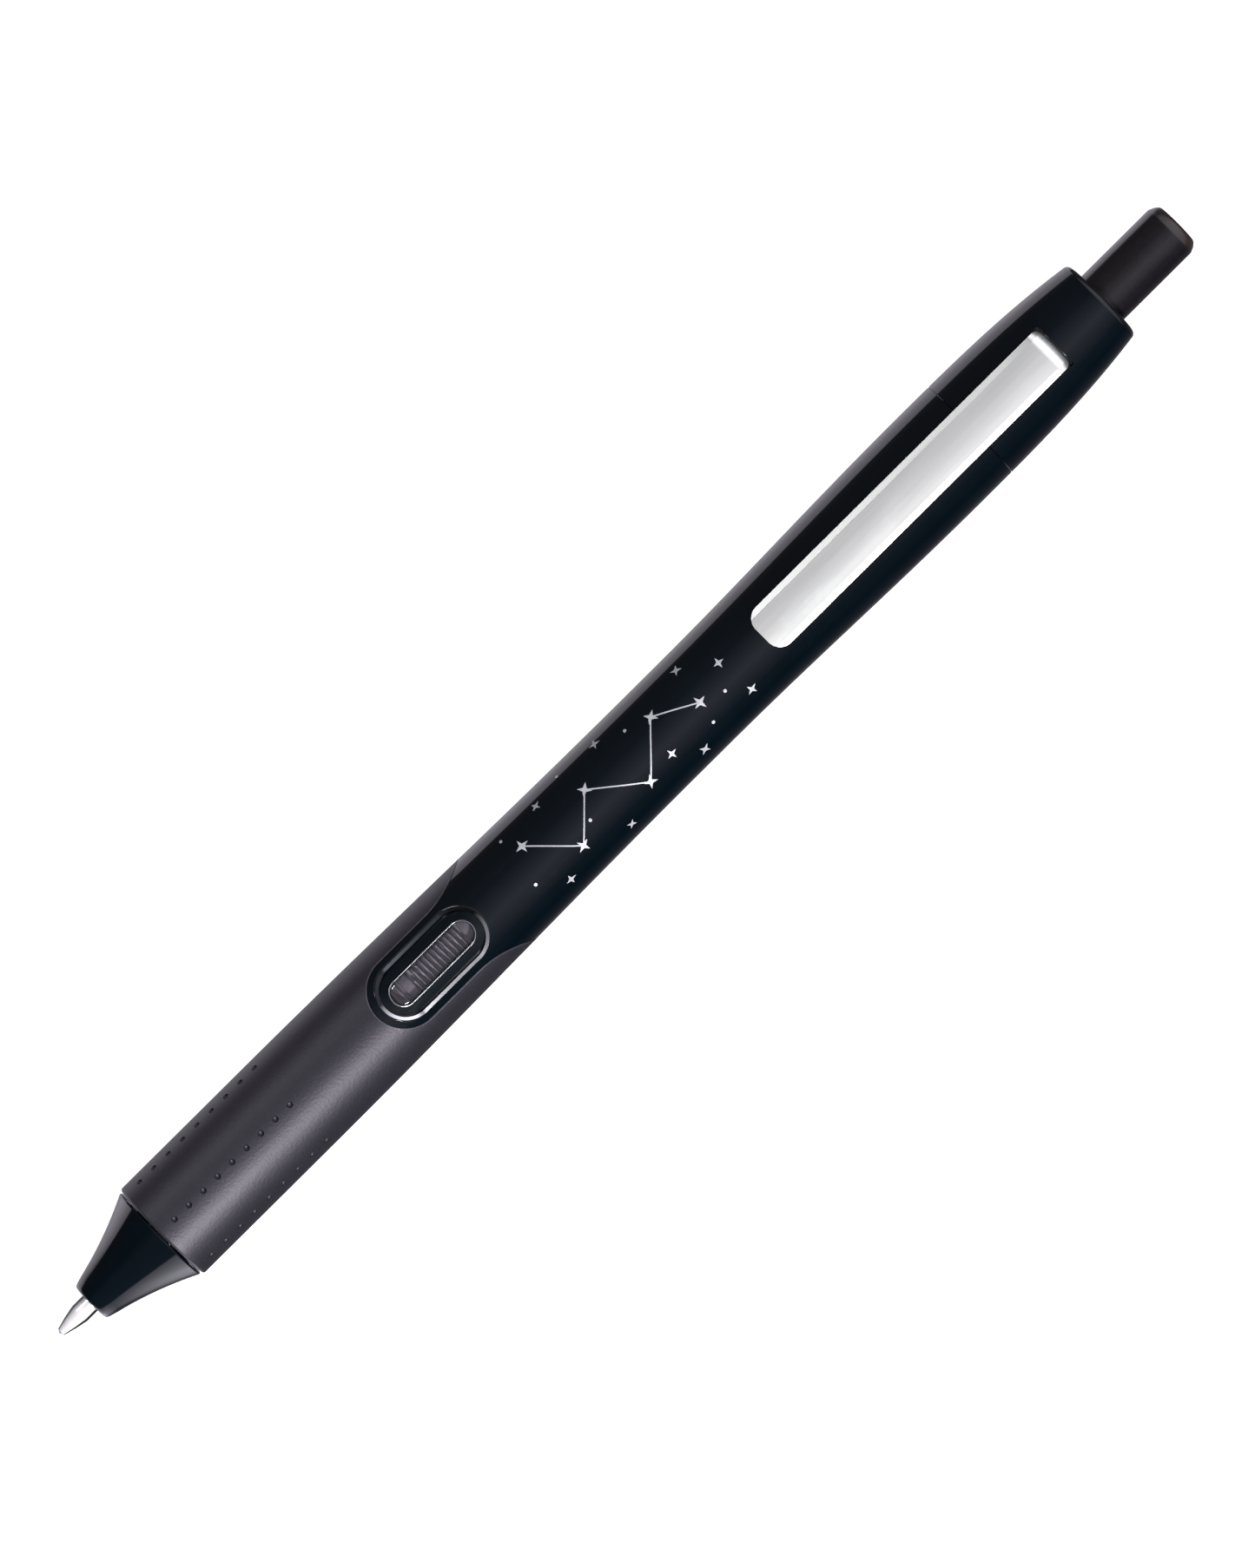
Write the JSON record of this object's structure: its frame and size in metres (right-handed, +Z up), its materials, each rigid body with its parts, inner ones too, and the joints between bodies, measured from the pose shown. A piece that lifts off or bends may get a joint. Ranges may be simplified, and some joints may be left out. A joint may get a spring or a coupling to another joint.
{
  "type": "retractable gel pen",
  "caption": "Retractable gel pen with a dimpled soft grip, an oval window over its spring, a metal pocket clip and a push button.",
  "frame": {"origin": "under the middle of the pen's length, at the height of its lowest point, with the tip out", "axes": "+X along the pen from the writing ball to the push button, +Z up through the pocket clip and the window, +Y to the left seen from the tip"},
  "size_m": [0.1466, 0.011, 0.0123],
  "materials": {
    "gloss_black_plastic": "high gloss, moulded",
    "soft_black_rubber": "soft touch, matt",
    "satin_black_plastic": "satin, moulded",
    "bright_chrome": "satin polished plate",
    "nickel_silver": "turned and polished",
    "tungsten_carbide": "ground",
    "spring_steel": "drawn wire",
    "clear_plastic": "clear, moulded",
    "frosted_plastic": "frosted tube",
    "black_gel_ink": "wet gel",
    "follower_grease": "clear grease",
    "natural_acetal": "moulded",
    "grey_acetal": "moulded"
  },
  "bodies": {
    "barrel": {"nose_cone": "gloss_black_plastic", "grip_sleeve": "soft_black_rubber", "front_barrel": "gloss_black_plastic", "window_lens": "clear_plastic", "end_cap": "gloss_black_plastic", "cam_sleeve": "natural_acetal", "spring_seat": "grey_acetal", "return_spring": "spring_steel"},
    "button": {"push_button": "satin_black_plastic", "cam_plunger": "natural_acetal"},
    "refill": {"refill_tube": "frosted_plastic", "ink_column": "black_gel_ink", "ink_follower": "follower_grease", "tail_plug": "natural_acetal", "tip_holder": "natural_acetal", "tip_point": "nickel_silver", "tip_spring": "spring_steel", "spring_collar": "grey_acetal"},
    "rotor": {"cam_rotor": "natural_acetal"},
    "ball": {"writing_ball": "tungsten_carbide"},
    "clip": {"pocket_clip": "bright_chrome"}
  },
  "joints": [
    {"name": "button_click", "type": "slide", "parent": "barrel", "child": "button", "axis": [1, 0, 0], "range_m": [-0.0012, 0.0055]},
    {"name": "refill_slide", "type": "slide", "parent": "barrel", "child": "refill", "axis": [1, 0, 0], "range_m": [-0.0012, 0.0055], "deforming": ["return_spring"]},
    {"name": "cam_turn", "type": "hinge", "parent": "refill", "child": "rotor", "pos_m": [0.045, 0, 0.00553], "axis": [1, 0, 0], "range_deg": [-6, 25.5]},
    {"name": "ball_roll", "type": "hinge", "parent": "refill", "child": "ball", "pos_m": [-0.0729, 0, 0.00553], "axis": [0, 1, 0], "continuous": true},
    {"name": "clip_flex", "type": "hinge", "parent": "barrel", "child": "clip", "pos_m": [0.05665, 0, 0.01053], "axis": [0, 1, 0], "range_deg": [0, 8], "stiffness_Nm_per_rad": 1.5}
  ],
  "couplings": [
    {"joint": "refill_slide", "follows": "button_click", "ratio": 1},
    {"joint": "cam_turn", "follows": "button_click", "rad_per_m": 79.3}
  ]
}
